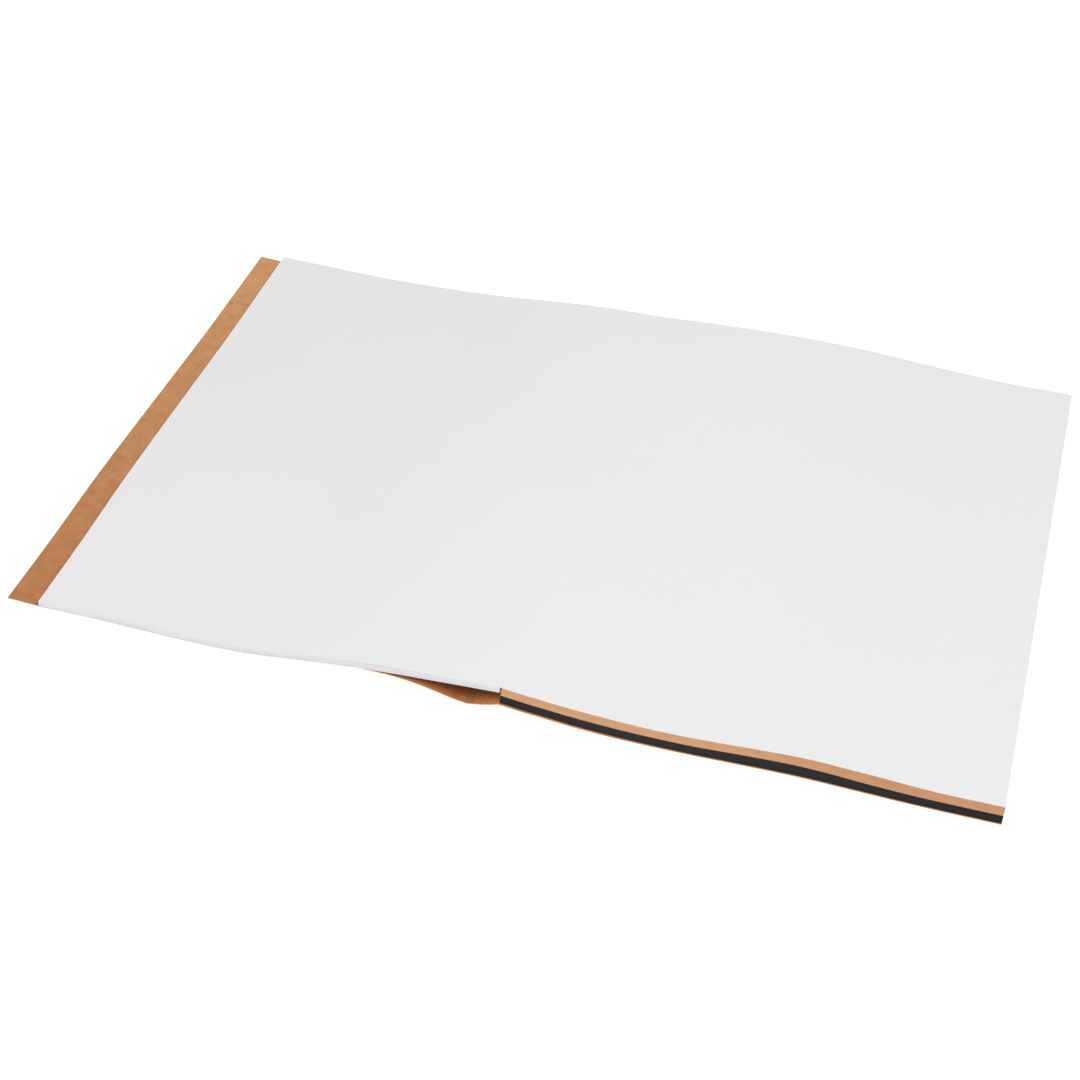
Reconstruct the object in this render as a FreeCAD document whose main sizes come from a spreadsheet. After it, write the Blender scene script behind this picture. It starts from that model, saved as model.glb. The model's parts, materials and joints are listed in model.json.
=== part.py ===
import FreeCAD, Part
import math
import os

import Sketcher
from FreeCAD import Placement, Rotation, Vector

# An A4 scrapbook album, lying open on a table near the end of its first section.
# One kraft card cover is folded twice into a front panel, a spine panel and a back
# panel. The block of leaves is glued to the back panel only, so the spine panel and
# the front panel swing free of it and the book opens flat.
# X runs across the open book, Y along the spine, Z up. The origin is on the table,
# under the middle of the open book. The leaves turn about one line, the gutter.

DRIVING_SIZES = {
    "page_height": 297.0,       # A4, along the spine
    "page_reach": 208.5,        # gutter to fore-edge: A4 width less what the spine milling took
    "bound_gap": 0.5,           # gutter line to the bound edge of each leaf
    "cover_card": 0.4,          # thickness of the kraft cover
    "white_paper": 0.213,       # thickness of one leaf of each section
    "kraft_paper": 0.28,
    "black_paper": 0.275,
    "leaf_gap": 0.012,          # air between neighbouring leaves
    "side_glue": 0.05,          # glue between the last leaf and the back panel
    "side_glue_width": 9.0,
    "gutter_lift": 3.6,         # rise of the back panel and its leaves at the spine
    "lift_length": 50.0,        # distance from the gutter over which the rise fades out
    "fold_offset": 0.8,         # gutter line to the back fold, sideways
    "fold_gap": 0.3,            # half the width of a scored fold
    "spine_width": 14.0,        # back fold to front fold
    "front_clearance": 0.1,     # front panel to the lowest leaf at the fore-edge
    "glue_film": 0.26,          # thickness of the glue on the bound edges
    "lining_paper": 0.13,       # paper strip over the glue of the back block
    "film_inset": 0.15,         # glue film stops short of the outer leaves
    "film_gap": 0.08,           # glue film to the bound edges, so that the leaves can turn
}

LEAVES_PER_SECTION = 15
TURNED_LEAVES = 14              # white leaves lying on the left
UP = Vector(0, 0, 1)
ALONG_SPINE = Vector(0, 1, 0)
LEVEL = Rotation()

doc = FreeCAD.newDocument("scrapbook_album")
sheet = doc.addObject("Spreadsheet::Sheet", "sizes")
for row, (alias, value) in enumerate(DRIVING_SIZES.items(), start=1):
    sheet.set("A" + str(row), alias)
    sheet.set("B" + str(row), str(value))
    sheet.setAlias("B" + str(row), alias)
doc.recompute()

parts = []


def size(alias):
    return float(sheet.get(alias))


# ---- sizes that follow from the driving ones -------------------------------------

white_pitch = size("white_paper") + size("leaf_gap")
kraft_pitch = size("kraft_paper") + size("leaf_gap")
black_pitch = size("black_paper") + size("leaf_gap")
first_leaf_z = size("cover_card") + size("side_glue")
kraft_base_z = first_leaf_z + LEAVES_PER_SECTION * black_pitch
white_base_z = kraft_base_z + LEAVES_PER_SECTION * kraft_pitch
gutter_z = white_base_z + size("white_paper") + size("gutter_lift")

left_stack = TURNED_LEAVES * white_pitch
left_drop = gutter_z - size("cover_card") - size("front_clearance")
left_diagonal = math.hypot(size("page_reach"), left_stack)
left_tilt = math.degrees(math.asin(left_drop / left_diagonal)
                         - math.atan2(left_stack, size("page_reach")))

fold_z = size("cover_card") / 2                     # folds lie in the middle of the card
back_fold = Vector(-size("fold_offset"), 0, size("gutter_lift") + fold_z)
spine_drop = math.asin(size("gutter_lift") / size("spine_width"))
front_fold_x = back_fold.x - size("spine_width") * math.cos(spine_drop)
front_edge_x = front_fold_x - size("page_reach")
gutter_x = -(front_edge_x + size("page_reach")) / 2  # centres the open book on X = 0

gutter = Vector(gutter_x, 0, gutter_z)
left_side = Placement(gutter, Rotation(ALONG_SPINE, -left_tilt))


# ---- helpers ---------------------------------------------------------------------

def keep(piece, label):
    piece.Label = label
    parts.append(piece)


def flat_sheet(label, length, thickness, corner, place):
    """A flat piece as high as the page. corner is its low corner within place."""
    box = doc.addObject("Part::Box", label)
    box.setExpression("Length", length)
    box.setExpression("Width", "sizes.page_height")
    box.setExpression("Height", thickness)
    doc.recompute()
    low_corner = corner - ALONG_SPINE * (box.Width.Value / 2)
    box.Placement = place.multiply(Placement(low_corner, LEVEL))
    return box


def origin_plane(body, role):
    return next(f for f in body.Origin.OriginFeatures if f.Role == role)


def bent_sheet(label, bound_x, thickness, height):
    """A sheet on the right: level from the fore-edge, then one arc up to the spine."""
    body = doc.addObject("PartDesign::Body", label)
    sketch = body.newObject("Sketcher::SketchObject", label + "_profile")
    sketch.AttachmentSupport = [(origin_plane(body, "XZ_Plane"), "")]
    sketch.MapMode = "FlatFace"

    reach = size("page_reach")
    flat_start = size("lift_length")
    depth = size(thickness)
    radius = (flat_start ** 2 + size("gutter_lift") ** 2) / (2 * size("gutter_lift"))
    rise = radius - math.sqrt(radius ** 2 - (flat_start - bound_x) ** 2)
    start_angle = math.atan2(rise - radius, bound_x - flat_start)
    lower_circle = Part.Circle(Vector(flat_start, radius, 0), UP, radius)
    upper_circle = Part.Circle(Vector(flat_start, radius + depth, 0), UP, radius)
    angles = (start_angle, -math.pi / 2)

    lower = sketch.addGeometry(Part.LineSegment(Vector(flat_start, 0, 0), Vector(reach, 0, 0)))
    fore_edge = sketch.addGeometry(Part.LineSegment(Vector(reach, 0, 0), Vector(reach, depth, 0)))
    upper = sketch.addGeometry(
        Part.LineSegment(Vector(reach, depth, 0), Vector(flat_start, depth, 0)))
    upper_arc = sketch.addGeometry(Part.ArcOfCircle(upper_circle, *angles))
    bound_edge = sketch.addGeometry(
        Part.LineSegment(Vector(bound_x, rise + depth, 0), Vector(bound_x, rise, 0)))
    lower_arc = sketch.addGeometry(Part.ArcOfCircle(lower_circle, *angles))

    start, end, x_axis, origin = 1, 2, -1, -1
    for level_line in (lower, upper):
        sketch.addConstraint(Sketcher.Constraint("Horizontal", level_line))
    for upright_line in (fore_edge, bound_edge):
        sketch.addConstraint(Sketcher.Constraint("Vertical", upright_line))
    sketch.addConstraint(Sketcher.Constraint("Coincident", lower, end, fore_edge, start))
    sketch.addConstraint(Sketcher.Constraint("Coincident", fore_edge, end, upper, start))
    sketch.addConstraint(Sketcher.Constraint("Coincident", upper_arc, start, bound_edge, start))
    sketch.addConstraint(Sketcher.Constraint("Coincident", bound_edge, end, lower_arc, start))
    sketch.addConstraint(Sketcher.Constraint("Tangent", upper, end, upper_arc, end))
    sketch.addConstraint(Sketcher.Constraint("Tangent", lower_arc, end, lower, start))
    sketch.addConstraint(Sketcher.Constraint("Equal", upper_arc, lower_arc))
    sketch.addConstraint(Sketcher.Constraint("Vertical", upper, end, lower, start))
    sketch.addConstraint(Sketcher.Constraint("PointOnObject", lower, start, x_axis))

    def drive(kind, arguments, name, expression):
        index = sketch.addConstraint(Sketcher.Constraint(kind, *arguments))
        sketch.renameConstraint(index, name)
        sketch.setExpression("Constraints." + name, expression)

    drive("Radius", (lower_arc, radius), "lift_radius",
          "(sizes.lift_length ^ 2 + sizes.gutter_lift ^ 2) / (2 * sizes.gutter_lift)")
    drive("DistanceX", (origin, start, lower, end, reach), "reach", "sizes.page_reach")
    drive("DistanceX", (lower, start, lower, end, reach - flat_start), "level_length",
          "sizes.page_reach - sizes.lift_length")
    width_expression = "sizes.page_reach - sizes.bound_gap"
    if bound_x < 0:
        width_expression = "sizes.page_reach + sizes.fold_offset - sizes.fold_gap"
    drive("DistanceX", (bound_edge, end, lower, end, reach - bound_x), "sheet_width",
          width_expression)
    drive("DistanceY", (fore_edge, start, fore_edge, end, depth), "thickness",
          "sizes." + thickness)

    pad = body.newObject("PartDesign::Pad", label + "_pad")
    pad.Profile = sketch
    pad.setExpression("Length", "sizes.page_height")
    pad.Midplane = True
    sketch.Visibility = False
    body.Placement = Placement(Vector(gutter_x, 0, height), LEVEL)
    return body


# ---- the cover -------------------------------------------------------------------

def back_cover_panel():
    spine_edge = size("fold_gap") - size("fold_offset")
    keep(bent_sheet("back_cover_panel", spine_edge, "cover_card", 0.0), "back_cover_panel")


def spine_cover_panel():
    place = Placement(back_fold + Vector(gutter_x, 0, 0),
                      Rotation(ALONG_SPINE, -math.degrees(spine_drop)))
    corner = Vector(size("fold_gap") - size("spine_width"), 0, -size("cover_card") / 2)
    panel = flat_sheet("spine_cover_panel", "sizes.spine_width - 2 * sizes.fold_gap",
                       "sizes.cover_card", corner, place)
    keep(panel, "spine_cover_panel")


def front_cover_panel():
    corner = Vector(gutter_x + front_edge_x, 0, 0)
    panel = flat_sheet("front_cover_panel", "sizes.page_reach - sizes.fold_gap",
                       "sizes.cover_card", corner, Placement())
    keep(panel, "front_cover_panel")


# ---- the leaves ------------------------------------------------------------------

def turned_white_leaves():
    """White leaves 1 to 14, lying on the left; leaf 14 is the top one."""
    for number in range(1, TURNED_LEAVES + 1):
        label = "white_leaf_%02d" % number
        depth = (TURNED_LEAVES - number) * white_pitch + size("white_paper")
        corner = Vector(-size("page_reach"), 0, -depth)
        leaf = flat_sheet(label, "sizes.page_reach - sizes.bound_gap", "sizes.white_paper",
                          corner, left_side)
        keep(leaf, label)


def right_section(colour, base_z, pitch, numbers):
    """Leaves of one colour on the right; the last number lies at base_z."""
    for number in numbers:
        label = "%s_leaf_%02d" % (colour, number)
        height = base_z + (LEAVES_PER_SECTION - number) * pitch
        keep(bent_sheet(label, size("bound_gap"), colour + "_paper", height), label)


# ---- what binds them -------------------------------------------------------------

def side_glue_strip():
    """Glue between the last black leaf and the back panel, along the spine."""
    layer = bent_sheet("side_glue_layer", size("bound_gap"), "side_glue", size("cover_card"))
    corner = Vector(gutter_x, 0, 0)
    band = flat_sheet("side_glue_band", "sizes.side_glue_width + sizes.bound_gap",
                      "sizes.gutter_lift * 2", corner, Placement())
    strip = doc.addObject("Part::Common", "side_glue_strip")
    strip.Base = layer
    strip.Tool = band
    keep(strip, "side_glue_strip")


def upright_strip(label, thickness, x, low_z, height, place):
    """A thin strip along the bound edges."""
    strip = flat_sheet(label, thickness, height, Vector(x, 0, low_z), place)
    keep(strip, label)


def spine_strips():
    film_x = size("bound_gap") - size("glue_film") - size("film_gap")
    block_low = first_leaf_z + size("gutter_lift") + size("film_inset")
    block_height = (str(LEAVES_PER_SECTION)
                    + " * (sizes.black_paper + sizes.kraft_paper + 2 * sizes.leaf_gap)"
                    + " + sizes.white_paper - 2 * sizes.film_inset")
    under_gutter = Placement(Vector(gutter_x, 0, 0), LEVEL)
    upright_strip("spine_glue_back", "sizes.glue_film", film_x, block_low, block_height,
                  under_gutter)
    upright_strip("spine_lining", "sizes.lining_paper", film_x - size("lining_paper"),
                  block_low, block_height, under_gutter)

    stack_height = (str(TURNED_LEAVES) + " * (sizes.white_paper + sizes.leaf_gap)"
                    + " - 2 * sizes.film_inset")
    upright_strip("spine_glue_front", "sizes.glue_film", -film_x - size("glue_film"),
                  size("film_inset") - left_stack, stack_height, left_side)


# ---- build, check and write ------------------------------------------------------

def check(piece):
    if "Invalid" in piece.State or "Error" in piece.State:
        raise RuntimeError(piece.Label + " failed to build")


back_cover_panel()
spine_cover_panel()
front_cover_panel()
turned_white_leaves()
right_section("white", white_base_z, white_pitch, [LEAVES_PER_SECTION])
right_section("kraft", kraft_base_z, kraft_pitch, range(1, LEAVES_PER_SECTION + 1))
right_section("black", first_leaf_z, black_pitch, range(1, LEAVES_PER_SECTION + 1))
side_glue_strip()
spine_strips()
doc.recompute()

for document_object in doc.Objects:
    check(document_object)
for part in parts:
    if part.Shape.isNull() or not part.Shape.isValid():
        raise RuntimeError(part.Label + " has no valid shape")

os.makedirs("parts", exist_ok=True)
for part in parts:
    part.Shape.exportStep("parts/" + part.Label + ".step")

print("pieces", len(parts))
print("gutter at x %.4f z %.4f, left tilt %.4f" % (gutter_x, gutter_z, left_tilt))
print("back fold x %.4f z %.4f" % (gutter_x + back_fold.x, back_fold.z))
print("front fold x %.4f z %.4f, spine drop %.4f" % (gutter_x + front_fold_x, fold_z,
                                                     math.degrees(spine_drop)))
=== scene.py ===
import json
import math

import bpy
import numpy as np
from mathutils import Matrix, Vector


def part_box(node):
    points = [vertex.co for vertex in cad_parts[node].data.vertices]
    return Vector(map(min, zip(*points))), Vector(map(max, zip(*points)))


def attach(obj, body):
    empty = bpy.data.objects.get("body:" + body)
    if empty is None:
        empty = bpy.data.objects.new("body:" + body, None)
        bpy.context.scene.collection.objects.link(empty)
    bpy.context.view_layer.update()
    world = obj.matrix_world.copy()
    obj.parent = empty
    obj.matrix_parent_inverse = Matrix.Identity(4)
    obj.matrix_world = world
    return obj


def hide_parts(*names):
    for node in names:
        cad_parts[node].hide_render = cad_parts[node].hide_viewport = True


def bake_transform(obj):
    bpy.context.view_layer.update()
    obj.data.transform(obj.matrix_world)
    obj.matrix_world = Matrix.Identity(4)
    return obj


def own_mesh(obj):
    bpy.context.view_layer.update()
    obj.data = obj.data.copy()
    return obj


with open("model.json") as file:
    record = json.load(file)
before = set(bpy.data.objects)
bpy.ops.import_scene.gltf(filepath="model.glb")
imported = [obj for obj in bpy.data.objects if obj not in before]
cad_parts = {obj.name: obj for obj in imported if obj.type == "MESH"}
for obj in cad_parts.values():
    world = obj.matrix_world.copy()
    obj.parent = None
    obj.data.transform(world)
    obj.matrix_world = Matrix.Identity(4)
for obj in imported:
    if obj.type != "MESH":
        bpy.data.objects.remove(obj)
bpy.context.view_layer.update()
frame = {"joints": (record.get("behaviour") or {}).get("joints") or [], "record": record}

# An A4 scrapbook album lying open. Every leaf, cover panel and binding strip of the
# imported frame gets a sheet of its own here: the same sheet, in the same place, but
# sagging and swelling as real paper does instead of lying dead flat.
# Lengths in the profiles are millimetres. u is the distance from the gutter line,
# negative to the left, and t runs from 0 at the near edge to 1 at the far edge.

MM = 0.001
rng = np.random.default_rng(7)

# ---- sizes read from the frame ---------------------------------------------------

joints = {joint["name"]: joint for joint in frame["joints"]}
gutter = Vector(joints["leaf_03_turn"]["pos_m"])
back_fold = Vector(joints["cover_fold"]["pos_m"])
front_fold = Vector(joints["front_cover_fold"]["pos_m"])
body_of_node = {node: body
                for body, nodes in frame["record"]["behaviour"]["bodies"].items()
                for node in nodes}
page_low, page_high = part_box("white_leaf_15")
near_y = page_low.y / MM
page_height = (page_high.y - page_low.y) / MM
page_reach = (page_high.x - gutter.x) / MM
cover_reach = (gutter.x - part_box("front_cover_panel")[0].x) / MM
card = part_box("front_cover_panel")[1].z / MM
front_fold_u = (front_fold.x - gutter.x) / MM
back_fold_u = (back_fold.x - gutter.x) / MM

LEAVES = 15                         # leaves to a section, of each paper
TURNED = 14                         # white leaves that lie turned over to the left


def resting_height(node):
    """Bottom of a node of the right-hand block where it lies flat, in mm."""
    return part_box(node)[0].z / MM


black_base = resting_height("black_leaf_15")
kraft_base = resting_height("kraft_leaf_15")
white_base = resting_height("white_leaf_15")
black_pitch = (kraft_base - black_base) / LEAVES
kraft_pitch = (white_base - kraft_base) / LEAVES
white_pitch = (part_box("white_leaf_14")[1].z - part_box("white_leaf_01")[1].z) / MM / (TURNED - 1)
PAPER_SHARE = 0.955                 # paper thickness as a share of the leaf pitch

# ---- how the paper lies ----------------------------------------------------------
# Each profile is a list of (u, height) points at one end of the book.

COVER_RISE_NEAR = [(0, 4.45), (10, 3.2), (20, 2.25), (32, 1.1), (46, 0.3), (60, 0), (80, 0.1),
                   (105, 0.85), (127, 1.3), (150, 0.8), (175, 0.25), (208.5, 0.35)]
COVER_RISE_FAR = [(0, 2.5), (30, 2.7), (78, 2.6), (110, 1.9), (140, 1.0), (175, 0.35),
                  (208.5, 0.5)]
BLACK_AIR_NEAR = [(0, 0), (25, 0), (38, 0.1), (60, 0), (80, 0.05), (94, 0.45), (110, 0.95),
                  (123, 1.15), (136, 1.05), (150, 0.5), (165, 0.15), (190, 0), (208.5, 0.05)]
BLACK_AIR_FAR = [(0, 0), (30, 0.8), (78, 1.6), (110, 1.55), (140, 1.0), (175, 0.35), (208.5, 0.4)]
KRAFT_AIR_NEAR = [(0, 0), (12, 0), (27, 0.05), (45, 0.1), (61, 0), (82, 0.15), (105, 0.15),
                  (125, 0.5), (145, 0.8), (160, 1.0), (178, 0.5), (208.5, 0.5)]
KRAFT_AIR_FAR = [(0, 0.1), (30, 0.9), (78, 1.65), (110, 1.65), (140, 1.15), (175, 0.8),
                 (208.5, 0.8)]
TURNED_LOW_NEAR = [(-208.5, 0.5), (-165, 0.5), (-130, 0.5), (-118, 0.75), (-108, 1.5), (-96, 2.9),
                   (-82, 4.65), (-60, 6.9), (-40, 8.4), (-25, 9.3), (-12, 10.05), (0, 10.65)]
TURNED_LOW_FAR = [(-208.5, 1.7), (-186, 1.1), (-163, 0.6), (-148, 0.5), (-130, 0.85),
                  (-107, 1.75), (-85, 3.1), (-64, 5.25), (-42, 7.2), (-25, 8.15), (-10, 8.5),
                  (0, 8.7)]
FRONT_COVER_NEAR = [(-223, 0.9), (-208.5, 0.15), (-185, 0), (-165, 0), (-130, 0), (-118, 0.2),
                    (-108, 0.95), (-96, 2.35), (-82, 4.1), (-66, 5.9), (-55, 6.6), (-46, 6.55),
                    (-39, 5.9), (-32, 4.65), (-25, 3.0), (-19, 1.6), (-14.3, 0.95)]
FRONT_COVER_FAR = [(-223, 1.9), (-208.5, 1.25), (-186, 0.6), (-163, 0.1), (-148, 0),
                   (-130, 0.3), (-107, 1.2), (-85, 2.55), (-64, 4.4), (-50, 5.0), (-38, 4.5),
                   (-28, 2.9), (-20, 1.1), (-14.3, 0.4)]
# where the near edges lie in front of or behind the near end of the CAD sheets
TURNED_NEAR_EDGE = [(-208.5, 0.1), (-195, 0.3), (-172, 0.1), (-150, -0.35), (-135, -0.55),
                    (-118, -0.35), (-70, 0.2), (0, 0.3)]
COVER_NEAR_EDGE = [(-223, 0.7), (-208.5, 0.85), (-195, 1.4), (-172, 1.5), (-150, 1.0),
                   (-120, 1.0), (-78, 1.1), (-66, 1.0), (-56, 0.4), (-46, 0.1), (-15, -0.3),
                   (0, -0.4), (20, -0.35), (60, -0.25), (100, 0), (208.5, 0)]
# the free left-hand edges lift and settle again between the near end (0) and the far end (1)
EDGE_WAVE = [(0, 0), (0.14, -0.1), (0.3, 1.0), (0.42, 0.8), (0.55, 0.1), (0.75, -0.8),
             (0.9, -0.35), (1, 0)]
WAVE_START = 110                    # this far left of the gutter the wave begins
WAVE_FULL = 205                     # and from here on it has its full height
# the air under the topmost turned leaf, at the near end
TOP_LEAF_GAP = [(-208.5, 0), (-90, 0), (-70, 0.1), (-55, 0.2), (-38, 0.15), (-15, 0), (0, 0)]
STACK_FLOOR = 0.42                  # the lowest turned leaf lies on the cover, never in it
SPINE_SAG = 0.45                    # the share of the spine panel's rise that is curved


def profile(points, u):
    """Smooth curve through the points: cubic, with the slopes between neighbours."""
    at, height = np.array(points, float).T
    slope = np.gradient(height, at)
    u = np.clip(u, at[0], at[-1])
    i = np.clip(np.searchsorted(at, u) - 1, 0, len(at) - 2)
    width = at[i + 1] - at[i]
    s = (u - at[i]) / width
    return (height[i] * (1 + 2 * s) * (1 - s) ** 2 + height[i + 1] * s * s * (3 - 2 * s)
            + width * (slope[i] * s * (1 - s) ** 2 + slope[i + 1] * s * s * (s - 1)))


def between(near, far, u, t):
    """Height that runs from the near profile to the far one along the spine."""
    return profile(near, u) * (1 - t) + profile(far, u) * t


def cover_rise(u, t):
    return between(COVER_RISE_NEAR, COVER_RISE_FAR, u, t)


def black_air(u, t):
    return between(BLACK_AIR_NEAR, BLACK_AIR_FAR, u, t)


def kraft_air(u, t):
    return between(KRAFT_AIR_NEAR, KRAFT_AIR_FAR, u, t)


def black_low(index):
    """Height of the black leaf with that many leaves below it."""
    return lambda u, t: (cover_rise(u, t) + black_base + index * black_pitch
                         + black_air(u, t) * index / LEAVES)


def kraft_low(index):
    """Height of the kraft leaf with that many kraft leaves below it."""
    return lambda u, t: (cover_rise(u, t) + kraft_base + index * kraft_pitch
                         + black_air(u, t) + kraft_air(u, t) * index / LEAVES)


def edge_wave(u, t):
    """The lift of the left-hand fore-edges, fading towards the gutter."""
    share = np.clip((-u - WAVE_START) / (WAVE_FULL - WAVE_START), 0, 1)
    return profile(EDGE_WAVE, t) * share ** 2


def turned_low(index):
    """Height of the turned leaf with that many leaves below it."""
    top = index == TURNED - 1
    return lambda u, t: (np.maximum(between(TURNED_LOW_NEAR, TURNED_LOW_FAR, u, t)
                                    + edge_wave(u, t), STACK_FLOOR)
                         + index * white_pitch
                         + (profile(TOP_LEAF_GAP, u) * (1 - t) ** 3 if top else 0))


def front_cover_low(u, t):
    low = between(FRONT_COVER_NEAR, FRONT_COVER_FAR, u, t) + edge_wave(u, t)
    return np.maximum(low, 0)


def spine_low(u, t):
    """The spine panel rises from the front fold to the back fold in a shallow curve."""
    s = (u - front_fold_u) / (back_fold_u - front_fold_u)
    low, high = front_cover_low(front_fold_u, t), cover_rise(0.0, t)
    return low + (high - low) * ((1 - SPINE_SAG) * s + SPINE_SAG * s * s)


# ---- sheets ----------------------------------------------------------------------

ROWS = 20                           # vertices along every sheet, from its near to its far end
TOP, EDGE, UNDERSIDE = range(3)     # the material slots of a sheet
SHARP_ANGLE = math.radians(40)      # faces that meet at more than this keep a sharp edge


def spaced(start, end, step):
    """Positions from start to end about one step apart."""
    count = max(2, int(round(abs(end - start) / step)) + 1)
    return np.linspace(start, end, count)


def sheet(name, columns, low, thickness, near, far, left=None, right=None):
    """A closed sheet over the columns, thickness upwards from low(u, t).
    near and far give the y of its ends; left and right, where given, move its sides."""
    ts = np.linspace(0, 1, ROWS)
    u = np.repeat(columns[:, None], ROWS, axis=1)
    t = np.repeat(ts[None, :], len(columns), axis=0)
    if left is not None:
        u[0, :] += left(ts)
    if right is not None:
        u[-1, :] += right(ts)
    y = near(u) + (far(u) - near(u)) * t
    z = low(u, t)
    x = gutter.x / MM + u
    under = np.stack([x, y, z], -1).reshape(-1, 3)
    over = under + np.array([0, 0, thickness])
    n, m = len(columns), ROWS
    count = n * m
    index = np.arange(count).reshape(n, m)
    quads = np.stack([index[:-1, :-1], index[1:, :-1], index[1:, 1:], index[:-1, 1:]], -1)
    top = quads.reshape(-1, 4) + count
    bottom = quads.reshape(-1, 4)[:, ::-1]
    rim = np.concatenate([index[:, 0], index[-1, 1:], index[-2::-1, -1], index[0, -2:0:-1]])
    following = np.roll(rim, -1)
    sides = np.stack([rim, following, following + count, rim + count], -1)
    faces = np.concatenate([top, bottom, sides])
    mesh = bpy.data.meshes.new(name)
    mesh.from_pydata((np.concatenate([under, over]) * MM).tolist(), [], faces.tolist())
    mesh.polygons.foreach_set("use_smooth", np.ones(len(faces), bool))
    kinds = np.concatenate([np.full(len(top), TOP), np.full(len(bottom), UNDERSIDE),
                            np.full(len(sides), EDGE)]).astype(np.int32)
    mesh.update()
    mesh.set_sharp_from_angle(angle=SHARP_ANGLE)
    piece = bpy.data.objects.new(name, mesh)
    bpy.context.scene.collection.objects.link(piece)
    for _ in (TOP, EDGE, UNDERSIDE):
        mesh.materials.append(None)
    mesh.polygons.foreach_set("material_index", kinds)
    return piece


def constant(value):
    return lambda u: np.full(np.shape(u), value)


def wandering(size):
    """A slightly irregular line: slow waves of random phase."""
    phases = rng.uniform(0, 2 * math.pi, 4)
    counts = np.array([1.0, 2.3, 4.1, 7.7])
    parts = size * np.array([0.5, 0.3, 0.2, 0.15])
    return lambda t: sum(p * np.sin(2 * math.pi * c * t + a)
                         for p, c, a in zip(parts, counts, phases))


def paint(piece, surface, edge, underside=None):
    """Gives a sheet its materials; its underside is like its top unless one is given."""
    piece.data.materials[TOP] = surface
    piece.data.materials[EDGE] = edge
    piece.data.materials[UNDERSIDE] = underside or surface


def finish_piece(piece, node, surface, edge, underside=None):
    """Paints the sheet and puts it in the place of its CAD node."""
    paint(piece, surface, edge, underside)
    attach(piece, body_of_node[node])
    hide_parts(node)


# ---- materials -------------------------------------------------------------------


def linear(red, green, blue):
    """sRGB 0 to 255 as scene-linear values."""
    return tuple(((c / 255 + 0.055) / 1.055) ** 2.4 for c in (red, green, blue)) + (1.0,)


LIGHT_LEVEL = 1.02                  # how much brighter than its own colour a lit face shows


def lit(red, green, blue):
    """The colour of a surface that shows as this sRGB colour in the studio light."""
    r, g, b, alpha = linear(red, green, blue)
    return (r / LIGHT_LEVEL, g / LIGHT_LEVEL, b / LIGHT_LEVEL, alpha)


def grey(value):
    return (value, value, value, 1.0)


class Graph:
    """Short names for building a node tree."""

    def __init__(self, name):
        self.material = bpy.data.materials.new(name)
        self.material.use_nodes = True
        self.tree = self.material.node_tree
        self.shader = self.tree.nodes["Principled BSDF"]
        self.place = self.tree.nodes.new("ShaderNodeTexCoord").outputs["Object"]

    def link(self, a, b):
        self.tree.links.new(a, b)

    def stretched(self, scale):
        """The place on the piece, scaled in each direction."""
        mapping = self.tree.nodes.new("ShaderNodeMapping")
        mapping.inputs["Scale"].default_value = scale
        self.link(self.place, mapping.inputs["Vector"])
        return mapping.outputs["Vector"]

    def noise(self, scale, detail=4.0, roughness=0.55, vector=None, distortion=0.0):
        node = self.tree.nodes.new("ShaderNodeTexNoise")
        node.inputs["Scale"].default_value = scale
        node.inputs["Detail"].default_value = detail
        node.inputs["Roughness"].default_value = roughness
        node.inputs["Distortion"].default_value = distortion
        self.link(vector or self.place, node.inputs["Vector"])
        return node.outputs["Fac"]

    def along(self, direction, start, end):
        """0 at start to 1 at end along a direction of the piece, in metres."""
        dot = self.tree.nodes.new("ShaderNodeVectorMath")
        dot.operation = "DOT_PRODUCT"
        dot.inputs[1].default_value = direction
        self.link(self.place, dot.inputs[0])
        reach = self.tree.nodes.new("ShaderNodeMapRange")
        reach.inputs["From Min"].default_value = start
        reach.inputs["From Max"].default_value = end
        self.link(dot.outputs["Value"], reach.inputs["Value"])
        return reach.outputs["Result"]

    def left_of_gutter(self, direction, stretch):
        """0 to 1 over a stretch that is given in metres left of the gutter."""
        start, end = stretch
        return self.along(direction, gutter.x - start, gutter.x - end)

    def ramp(self, factor, stops):
        node = self.tree.nodes.new("ShaderNodeValToRGB")
        ramp = node.color_ramp
        while len(ramp.elements) < len(stops):
            ramp.elements.new(0.5)
        for element, (at, colour) in zip(ramp.elements, stops):
            element.position = at
            element.color = colour
        self.link(factor, node.inputs["Fac"])
        return node.outputs["Color"]

    def mix(self, factor, a, b, kind="MIX"):
        node = self.tree.nodes.new("ShaderNodeMix")
        node.data_type = "RGBA"
        node.blend_type = kind
        for socket, value in ((node.inputs[0], factor), (node.inputs[6], a), (node.inputs[7], b)):
            if hasattr(value, "links"):
                self.link(value, socket)
            else:
                socket.default_value = value
        return node.outputs[2]

    def finish(self, colour, roughness, height=None, strength=0.3, distance=0.00002,
               specular=0.3):
        """Sets the shader, with a fine bump from height where that is given."""
        self.link(colour, self.shader.inputs["Base Color"])
        self.shader.inputs["Roughness"].default_value = roughness
        self.shader.inputs["Specular IOR Level"].default_value = specular
        if height is not None:
            bump = self.tree.nodes.new("ShaderNodeBump")
            bump.inputs["Strength"].default_value = strength
            bump.inputs["Distance"].default_value = distance
            self.link(height, bump.inputs["Height"])
            self.link(bump.outputs["Normal"], self.shader.inputs["Normal"])
        return self.material


ACROSS = (1, 0, 0)
ALONG_SPINE = (0, 1, 0)
FORE_EDGE_SLANT = (1, 0.0037, 0)    # square to the fore-edge of the turned leaves
# where a tone starts and ends, in metres left of the gutter
LEFT_PAGE = (0.2, 0.03)
LAST_STRETCH = (0.1, 0)
FOOT_SHADOW_LINE = (0.2131, 0.2051)
KRAFT_SPECKLE = 260                 # noise scale of the coarser cut edges of kraft and black


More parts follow.
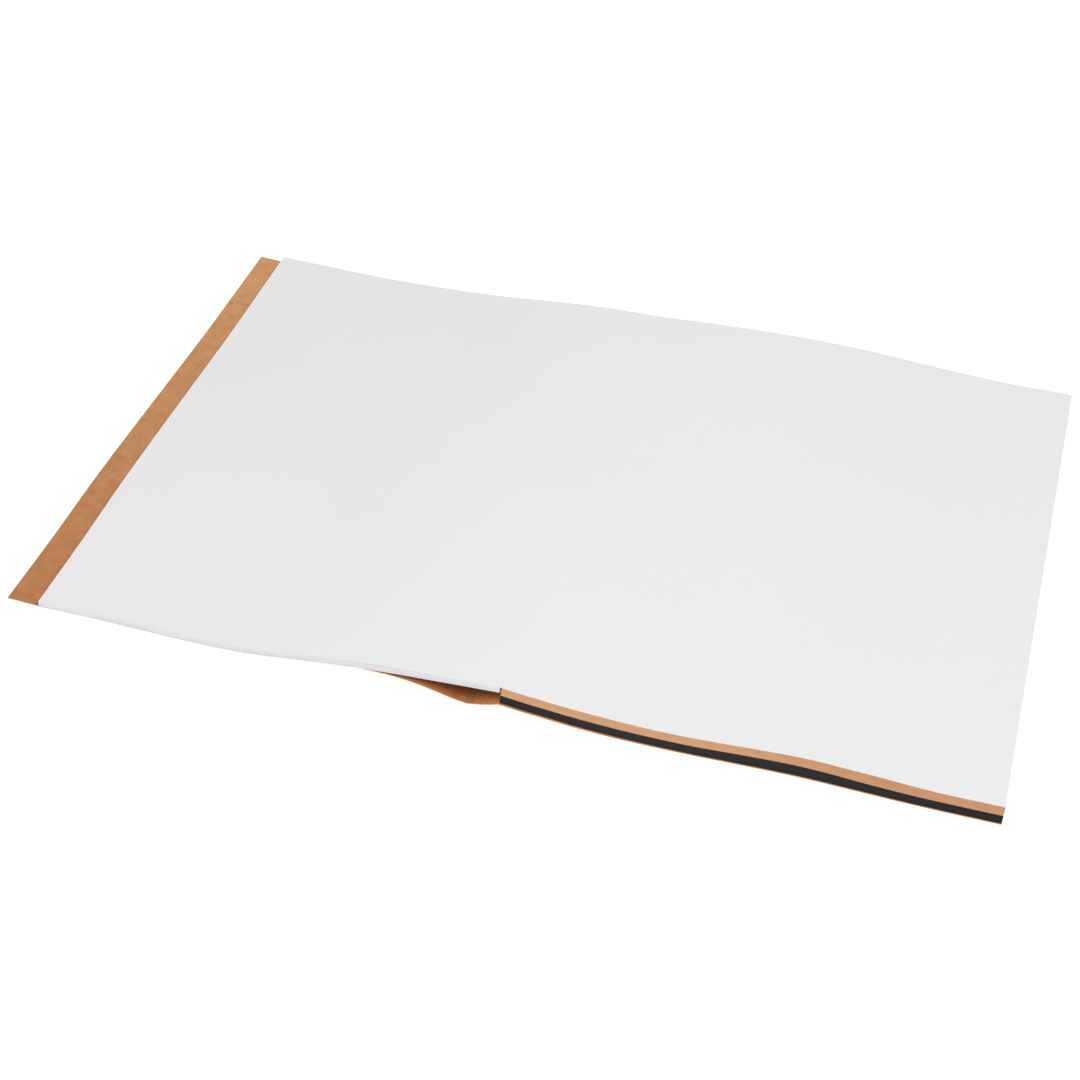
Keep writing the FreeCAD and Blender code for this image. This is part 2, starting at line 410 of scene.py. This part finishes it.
def white_paper(name, colour, edge_colour=None):
    """Uncoated drawing paper: even, with a very faint cloudiness and a fine tooth.
    edge_colour, where given, is its tone towards the left fore-edge."""
    g = Graph(name)
    if edge_colour:
        colour = g.mix(g.left_of_gutter(ACROSS, LEFT_PAGE), edge_colour, colour)
    cloud = g.ramp(g.noise(14, 3), [(0.3, grey(0.99)), (0.7, grey(1.0))])
    fibre = g.ramp(g.noise(900, 5), [(0.3, grey(0.99)), (0.7, grey(1.0))])
    tone = g.mix(1.0, colour, cloud, "MULTIPLY")
    tone = g.mix(1.0, tone, fibre, "MULTIPLY")
    return g.finish(tone, 0.75, g.noise(1400, 5), 0.12, 0.00002, 0.2)


def cut_edge(name, colour, shade, speckle=500, outer_tone=None, outer_start=0.03):
    """The guillotined edge of a leaf: cut fibres, a little darker here and there.
    outer_tone, where given, is a factor reached at the right-hand fore-edge, from
    outer_start (metres from the gutter) on."""
    g = Graph(name)
    along = g.noise(speckle, 4, 0.6, g.stretched((1.0, 1.0, 6.0)))
    patch = g.noise(40, 3)
    tone = g.ramp(along, [(0.25, shade), (0.75, colour)])
    soft = g.ramp(patch, [(0.3, grey(0.94)), (0.7, grey(1.0))])
    tone = g.mix(1.0, tone, soft, "MULTIPLY")
    if outer_tone:
        outward = g.along(ACROSS, gutter.x + outer_start, gutter.x + page_reach * MM)
        tone = g.mix(1.0, tone, g.mix(outward, grey(1.0), outer_tone), "MULTIPLY")
    return g.finish(tone, 0.85, along, 0.3, 0.00003, 0.15)


def kraft(name, light, middle, dark, fleck=0.5, streaks=False, far_tone=None,
          spine_painted_shade_and_light=None, foot_painted_shadow=None):
    """Unbleached kraft: cloudy browns, fine crossing fibres, and light and dark flecks.
    far_tone, where given, is a factor reached at the far end, where the card is paler;
    spine_painted_shade_and_light are factors over the last stretch to the spine: painted shade and
    painted light for the gap under the turned leaves; foot_painted_shadow paint a shadow line at
    the foot of the turned leaves."""
    g = Graph(name)
    cloud = g.noise(170, 6, 0.6, distortion=0.3)
    tone = g.ramp(cloud, [(0.25, dark), (0.5, middle), (0.75, light)])
    if far_tone:
        half = page_height / 2 * MM
        fade = g.mix(g.along(ALONG_SPINE, -half, half), grey(1.0), far_tone)
        tone = g.mix(1.0, tone, fade, "MULTIPLY")
    # painted shade and painted light for the gap under the turned leaves, towards the spine
    if spine_painted_shade_and_light:
        inward = g.left_of_gutter(ACROSS, LAST_STRETCH)
        tone = g.mix(1.0, tone, g.ramp(inward, spine_painted_shade_and_light), "MULTIPLY")
    # painted shadow: a dark line on the card at the foot of the turned leaves
    if foot_painted_shadow:
        inward = g.left_of_gutter(FORE_EDGE_SLANT, FOOT_SHADOW_LINE)
        tone = g.mix(1.0, tone, g.ramp(inward, foot_painted_shadow), "MULTIPLY")
    across = g.noise(260, 5, 0.65, g.stretched((1.0, 5.0, 1.0)))
    along = g.noise(260, 5, 0.65, g.stretched((5.0, 1.0, 1.0)))
    fibre = g.mix(0.5, g.ramp(across, [(0.3, grey(0.88)), (0.7, grey(1.06))]),
                  g.ramp(along, [(0.3, grey(0.88)), (0.7, grey(1.06))]))
    tone = g.mix(1.0, tone, fibre, "MULTIPLY")
    specks = g.noise(700, 2, 0.5, g.stretched((1.0, 2.4, 1.0)))
    tone = g.mix(g.ramp(specks, [(0.69, grey(0)), (0.76, grey(fleck))]), tone, dark)
    motes = g.noise(520, 2, 0.5, g.stretched((2.2, 1.0, 1.0)))
    tone = g.mix(g.ramp(motes, [(0.7, grey(0)), (0.78, grey(fleck))]), tone, light)
    if streaks:
        lines = g.noise(620, 3, 0.6, g.stretched((1.0, 0.02, 0.02)))
        tone = g.mix(1.0, tone, g.ramp(lines, [(0.35, grey(0.76)), (0.6, grey(1.0))]), "MULTIPLY")
    return g.finish(tone, 0.78, fibre, 0.35, 0.00004, 0.22)


def black_paper(name, colour, lighter):
    """Dyed black paper: dull, with slightly lighter fibres."""
    g = Graph(name)
    fibre = g.noise(700, 5, 0.65, g.stretched((1.0, 2.0, 1.0)))
    tone = g.ramp(fibre, [(0.3, colour), (0.8, lighter)])
    return g.finish(tone, 0.82, g.noise(1100, 5), 0.3, 0.00003, 0.25)


def glue(name, colour, darker):
    """Dried binding glue: a little glossier than the paper, and uneven."""
    g = Graph(name)
    tone = g.ramp(g.noise(180, 4), [(0.3, darker), (0.7, colour)])
    return g.finish(tone, 0.45, g.noise(240, 4), 0.4, 0.00005, 0.4)


white_left = white_paper("white_paper_turned", lit(235, 235, 235), lit(233, 231, 232))
white_right = white_paper("white_paper_facing", lit(235, 235, 235))
# the cut edges of the leaves carry painted shade: darker and bluer on the lowest leaves, lighter
# and less blue on the top ones
CUT_SHADE_STEPS = 4
white_cuts_painted_shade = [cut_edge("white_paper_cut_painted_shade_%d" % step,
                       lit(221 + 3 * step, 220 + 3.2 * step, 232 - step),
                       lit(215 + 3 * step, 214 + 3.2 * step, 227 - step))
              for step in range(CUT_SHADE_STEPS)]
kraft_leaf = kraft("kraft_paper", lit(212, 165, 122), lit(200, 150, 106), lit(182, 130, 88))
kraft_cut = cut_edge("kraft_paper_cut", lit(220, 173, 133), lit(204, 154, 114), KRAFT_SPECKLE,
                     outer_tone=(0.97, 0.87, 0.85, 1.0))
black_leaf = black_paper("black_paper", lit(44, 43, 46), lit(62, 60, 64))
black_cut = cut_edge("black_paper_cut", lit(49, 47, 50), lit(39, 37, 40), KRAFT_SPECKLE,
                     outer_tone=(0.7, 0.72, 0.78, 1.0), outer_start=0.12)
CARD_TONES = (lit(192, 134, 90), lit(184, 124, 81), lit(174, 113, 71))
# factors on the card's colour: at its far end; over the last stretch to the spine, painted shade
# and painted light for the gap under the turned leaves, darker up to the front fold and lighter
# over the spine panel; and a painted shadow line at the foot of the turned leaves
PALER = (1.30, 1.55, 1.70, 1.0)
SPINE_PAINTED_SHADE_AND_LIGHT = [(0, grey(1.0)), (0.72, (0.92, 0.77, 0.59, 1.0)), (0.81, (0.78, 0.66, 0.54, 1.0)),
          (0.9, (1.12, 1.0, 0.84, 1.0)), (0.98, (1.3, 1.2, 1.05, 1.0))]
FOOT_SHADE = [(0.12, grey(1.0)), (0.23, grey(0.72)), (0.6, grey(0.72)), (1.0, grey(1.0))]
cover_card = kraft("kraft_card", *CARD_TONES, far_tone=PALER, spine_painted_shade_and_light=SPINE_PAINTED_SHADE_AND_LIGHT,
                   foot_painted_shadow=FOOT_SHADE)
cover_spine = kraft("kraft_card_spine", *CARD_TONES, streaks=True, far_tone=PALER,
                    spine_painted_shade_and_light=SPINE_PAINTED_SHADE_AND_LIGHT)
cover_back = kraft("kraft_card_back", *CARD_TONES, far_tone=PALER)
cover_outside = kraft("kraft_card_outside", lit(198, 145, 103), lit(190, 136, 94),
                      lit(181, 126, 84))
cover_cut = cut_edge("kraft_card_cut", lit(218, 166, 122), lit(196, 144, 102), KRAFT_SPECKLE)
binding_glue = glue("binding_glue", lit(168, 144, 112), lit(136, 112, 84))
lining = kraft("lining_paper", lit(140, 110, 86), lit(122, 94, 72), lit(104, 78, 58))

# ---- the right-hand block --------------------------------------------------------

LEAF_STEP = 3.4                     # between the columns of vertices of a leaf
EDGE_JITTER = 0.05                  # how unevenly the leaves are cut and stacked
NEAR_INSET = 0.3                    # the block stops this far short of the near end
BOUND_GAP = 0.5                     # from the gutter line to the bound edges, on both sides
BOUND_TOP = 0.42                    # the same at the top of the leaning block
BOUND_LEAN = 0.8                    # how far the bound edges lean over, from top to foot
GUTTER_REACH = 0.003                # how near the two top leaves come to the gutter line
TOP_WANDER = 0.01                   # how far the bound edges stray, for these two leaves
BOUND_WANDER = 0.05                 # and for the rest
right_columns = spaced(BOUND_GAP, page_reach, LEAF_STEP)
far_y = near_y + page_height
right_pieces = []


def jitter():
    return EDGE_JITTER * rng.uniform(-1, 1)


def bound_edge(level):
    """Where the bound edge of the block lies: it leans over, furthest at its foot (level 0)."""
    return BOUND_TOP - BOUND_LEAN * (1 - level)


def right_leaf(node, low, pitch, surface, edge, level, top=False):
    """A leaf of the block; level is its place in the block, from 0 at the foot to 1."""
    columns = right_columns.copy()
    columns[0] = bound_edge(level)
    columns[-1] += jitter()
    side = wandering(TOP_WANDER if top else BOUND_WANDER)
    if top:
        columns = np.concatenate([[GUTTER_REACH], columns])
        line = side
        side = lambda ts: np.abs(line(ts))
    piece = sheet(node + "_paper", columns, low, pitch * PAPER_SHARE,
                  constant(near_y + NEAR_INSET + jitter()), constant(far_y + jitter()), left=side)
    finish_piece(piece, node, surface, edge)
    right_pieces.append((node, piece))


def right_section(colour, low, pitch, surface, edge, leaves_below):
    """A section of the block, from its lowest leaf to its top one."""
    for index in range(LEAVES):
        node = "%s_leaf_%02d" % (colour, LEAVES - index)
        level = (leaves_below + index) / (2 * LEAVES)
        right_leaf(node, low(index), pitch, surface, edge, level)


right_section("black", black_low, black_pitch, black_leaf, black_cut, 0)
right_section("kraft", kraft_low, kraft_pitch, kraft_leaf, kraft_cut, LEAVES)
right_leaf("white_leaf_15", kraft_low(LEAVES), white_pitch, white_right, white_cuts_painted_shade[-1], 1.0,
           top=True)

# ---- the turned white leaves -----------------------------------------------------

FORE_EDGE_PAST = 0.4                # how far past the page's width the fore-edge lies
FORE_EDGE_SKEW = 1.0                # and how much further at its far end
turned_columns = spaced(-page_reach, -BOUND_GAP, LEAF_STEP)


def turned_near(offset):
    return lambda u: near_y + profile(TURNED_NEAR_EDGE, u) + offset


def turned_fore_edge(t):
    return -FORE_EDGE_PAST - FORE_EDGE_SKEW * t


turned_pieces = []
for number in range(1, TURNED + 1):
    node = "white_leaf_%02d" % number
    columns = turned_columns.copy()
    columns[0] += jitter()
    side = wandering(TOP_WANDER if number == TURNED else BOUND_WANDER)
    if number == TURNED:
        columns = np.concatenate([columns, [-GUTTER_REACH]])
        line = side
        side = lambda ts: -np.abs(line(ts))
    piece = sheet(node + "_paper", columns, turned_low(number - 1), white_pitch * PAPER_SHARE,
                  turned_near(jitter()), constant(far_y + jitter()),
                  left=turned_fore_edge, right=side)
    finish_piece(piece, node, white_left, white_cuts_painted_shade[CUT_SHADE_STEPS * (number - 1) // TURNED])
    turned_pieces.append(piece)

# ---- the cover -------------------------------------------------------------------

FOLD_HALF = 1.4                     # the scored folds are strips this wide each side
FRONT_STEP = 3.2                    # between the columns of vertices of each part
SPINE_STEP = 0.8
CREASE_STEP = 0.2
COVER_PAST = 0.15                   # how far past the CAD panel the front fore-edge lies
COVER_SKEW = 1.1                    # and how much further at its near end


def cover_near(u):
    return near_y + profile(COVER_NEAR_EDGE, u)


def cover_fore_edge(t):
    return -COVER_SKEW * (1 - t) - COVER_PAST


def cover_sheet(name, start, end, step, low, left=None):
    return sheet(name, spaced(start, end, step), low, card, cover_near, constant(far_y), left=left)


front_panel = cover_sheet("front_cover_card", -cover_reach, front_fold_u - FOLD_HALF, FRONT_STEP,
                          front_cover_low, cover_fore_edge)
finish_piece(front_panel, "front_cover_panel", cover_card, cover_cut, cover_outside)
spine_panel = cover_sheet("spine_cover_card", front_fold_u + FOLD_HALF, back_fold_u - FOLD_HALF,
                          SPINE_STEP, spine_low)
finish_piece(spine_panel, "spine_cover_panel", cover_spine, cover_cut, cover_outside)
back_panel = cover_sheet("back_cover_card", back_fold_u + FOLD_HALF, page_reach, LEAF_STEP,
                         cover_rise)
finish_piece(back_panel, "back_cover_panel", cover_back, cover_cut, cover_outside)


def fold_strip(name, middle, low):
    """A scored fold: a strip of the card that bends between two panels."""
    strip = cover_sheet(name, middle - FOLD_HALF, middle + FOLD_HALF, CREASE_STEP, low)
    paint(strip, cover_spine, cover_cut, cover_outside)
    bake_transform(strip)


def back_fold_low(u, t):
    return np.where(u < back_fold_u, spine_low(u, t), cover_rise(np.maximum(u, 0), t))


def front_fold_low(u, t):
    return np.where(u < front_fold_u, front_cover_low(u, t), spine_low(u, t))


fold_strip("back_fold_crease", back_fold_u, back_fold_low)
fold_strip("front_fold_crease", front_fold_u, front_fold_low)

# ---- glue and lining -------------------------------------------------------------

GLUE_SIDES = (0.03, 0.07)           # the inner and outer side, as distances from the leaves
LINING_SIDES = (0.08, 0.14)
FILM_COLUMNS = (-0.42, -0.16)       # the sides of the front film, from the gutter line
FILM_INSET = 0.4                    # the front film stops this far short of the near end
FAR_INSET = 0.1                     # and all strips this far short of the far end
FOOT_GAP = 0.1                      # a strip starts this far above the foot of its leaves
HEAD_GAP = 0.08                     # and ends this far below the foot of the top leaf
FIRST_HEIGHT = 1.0                  # of a standing sheet, before its top is moved into place
SIDE_GLUE = 0.045                   # thickness of the side glue
SIDE_GLUE_GAP = 0.002               # between the cover and the side glue
SIDE_GLUE_STEP = 1.5


def standing_sheet(name, columns, low, high, near):
    """A sheet that stands on its edge, from low(u, t) up to high(u, t)."""
    piece = sheet(name, columns, low, FIRST_HEIGHT, constant(near), constant(far_y - FAR_INSET))
    top = piece.data.vertices[len(columns) * ROWS:]
    for number, vertex in enumerate(top):
        column, row = divmod(number, ROWS)
        vertex.co.z = high(columns[column], row / (ROWS - 1)) * MM
    return piece


def block_low(u, t):
    return cover_rise(BOUND_GAP, t) + black_base + FOOT_GAP


def block_high(u, t):
    return kraft_low(LEAVES)(BOUND_GAP, t) - HEAD_GAP


def stack_low(u, t):
    return turned_low(0)(-BOUND_GAP, t) + FOOT_GAP


def stack_high(u, t):
    return turned_low(TURNED - 1)(-BOUND_GAP, t) - HEAD_GAP


def block_strip(name, node, sides, surface):
    """A strip along the bound edges of the block, which leans as they do."""
    inner, outer = sides
    columns = np.array([bound_edge(0) - outer, bound_edge(0) - inner])
    piece = standing_sheet(name, columns, block_low, block_high, near_y + NEAR_INSET)
    lean = (bound_edge(1) - bound_edge(0)) * MM
    for vertex in piece.data.vertices[len(columns) * ROWS:]:
        vertex.co.x += lean
    finish_piece(piece, node, surface, surface)


block_strip("spine_glue_back_film", "spine_glue_back", GLUE_SIDES, binding_glue)
block_strip("spine_lining_strip", "spine_lining", LINING_SIDES, lining)

glue_reach = (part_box("side_glue_strip")[1].x - gutter.x) / MM
side_glue = sheet("side_glue_layer", spaced(BOUND_GAP, glue_reach, SIDE_GLUE_STEP),
                  lambda u, t: cover_rise(u, t) + card + SIDE_GLUE_GAP, SIDE_GLUE,
                  constant(near_y + NEAR_INSET), constant(far_y - NEAR_INSET))
finish_piece(side_glue, "side_glue_strip", binding_glue, binding_glue)

film = standing_sheet("spine_glue_front_film", np.array(FILM_COLUMNS), stack_low, stack_high,
                      near_y + FILM_INSET)
finish_piece(film, "spine_glue_front", binding_glue, binding_glue)

# ---- closing: each piece gets a mesh of its own ----------------------------------


def flatten(piece):
    """Gives the piece a copy of its mesh; nothing is flattened."""
    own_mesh(piece)


def flatten_right(piece):
    """For a piece of the right-hand block: gives it a copy of its mesh, as flatten does."""
    flatten(piece)


for node, piece in right_pieces:
    flatten_right(piece)
flatten_right(side_glue)
flatten_right(back_panel)
for number, piece in enumerate(turned_pieces, start=1):
    flatten(piece)
flatten(front_panel)

# ---- table, light and camera -----------------------------------------------------

HALF_FLOOR = 12.0
FLOOR_DROP = 0.0001                 # the table lies this far below the cover
TABLE_GLOW = 0.85                   # the light that the table gives off, which hides shadows
SKY_STRENGTH = 0.3


def table_white(name):
    """Matt white with hardly any cloudiness."""
    g = Graph(name)
    tone = g.ramp(g.noise(3, 2), [(0.3, grey(0.5)), (0.7, grey(0.51))])
    g.shader.inputs["Emission Color"].default_value = grey(1.0)
    g.shader.inputs["Emission Strength"].default_value = TABLE_GLOW
    return g.finish(tone, 0.9, specular=0.0)


def soft_box(name, place, target, size, power):
    """A square area light at place that faces target."""
    light = bpy.data.lights.new(name, "AREA")
    light.shape = "SQUARE"
    light.size = size
    light.energy = power
    lamp = bpy.data.objects.new(name, light)
    lamp.location = place
    towards = Vector(target) - Vector(place)
    lamp.rotation_euler = towards.to_track_quat("-Z", "Y").to_euler()
    bpy.context.scene.collection.objects.link(lamp)


floor_mesh = bpy.data.meshes.new("table")
corners = [(x * HALF_FLOOR, y * HALF_FLOOR, 0) for x, y in ((-1, -1), (1, -1), (1, 1), (-1, 1))]
floor_mesh.from_pydata(corners, [], [(0, 1, 2, 3)])
floor_mesh.materials.append(table_white("table_white"))
floor = bpy.data.objects.new("table", floor_mesh)
floor.location.z = -FLOOR_DROP
bpy.context.scene.collection.objects.link(floor)

world = bpy.data.worlds.new("studio")
world.use_nodes = True
background = world.node_tree.nodes["Background"]
background.inputs["Color"].default_value = grey(1.0)
background.inputs["Strength"].default_value = SKY_STRENGTH
bpy.context.scene.world = world
soft_box("overhead_softbox", place=(0.3, -1.4, 3.6), target=(0, 0, 0), size=2.6, power=132.0)

AZIMUTH, ELEVATION, ROLL = (math.radians(a) for a in (14.01, 39.0, 2.93))
SENSOR_WIDTH = 36.0
FOCAL_LENGTH = 72.37
VIEW_DISTANCE = 100.0
CAMERA_ASIDE = 0.1717               # right of the gutter
CAMERA_BEFORE = 0.634               # in front of the near end of the page
CAMERA_HEIGHT = 0.625
backwards = Vector((math.sin(AZIMUTH) * math.cos(ELEVATION),
                    -math.cos(AZIMUTH) * math.cos(ELEVATION), math.sin(ELEVATION)))
level = Vector((math.cos(AZIMUTH), math.sin(AZIMUTH), 0))
upwards = backwards.cross(level)
across = math.cos(ROLL) * level + math.sin(ROLL) * upwards
along = -math.sin(ROLL) * level + math.cos(ROLL) * upwards
camera_data = bpy.data.cameras.new("camera")
camera_data.sensor_width = SENSOR_WIDTH
camera_data.lens = FOCAL_LENGTH
camera_data.clip_end = VIEW_DISTANCE
camera = bpy.data.objects.new("camera", camera_data)
bpy.context.scene.collection.objects.link(camera)
rotation = Matrix((across, along, backwards)).transposed().to_4x4()
place = Vector((gutter.x + CAMERA_ASIDE, near_y * MM - CAMERA_BEFORE, CAMERA_HEIGHT))
camera.matrix_world = Matrix.Translation(place) @ rotation
bpy.context.scene.camera = camera
bpy.context.scene.view_settings.view_transform = "Standard"
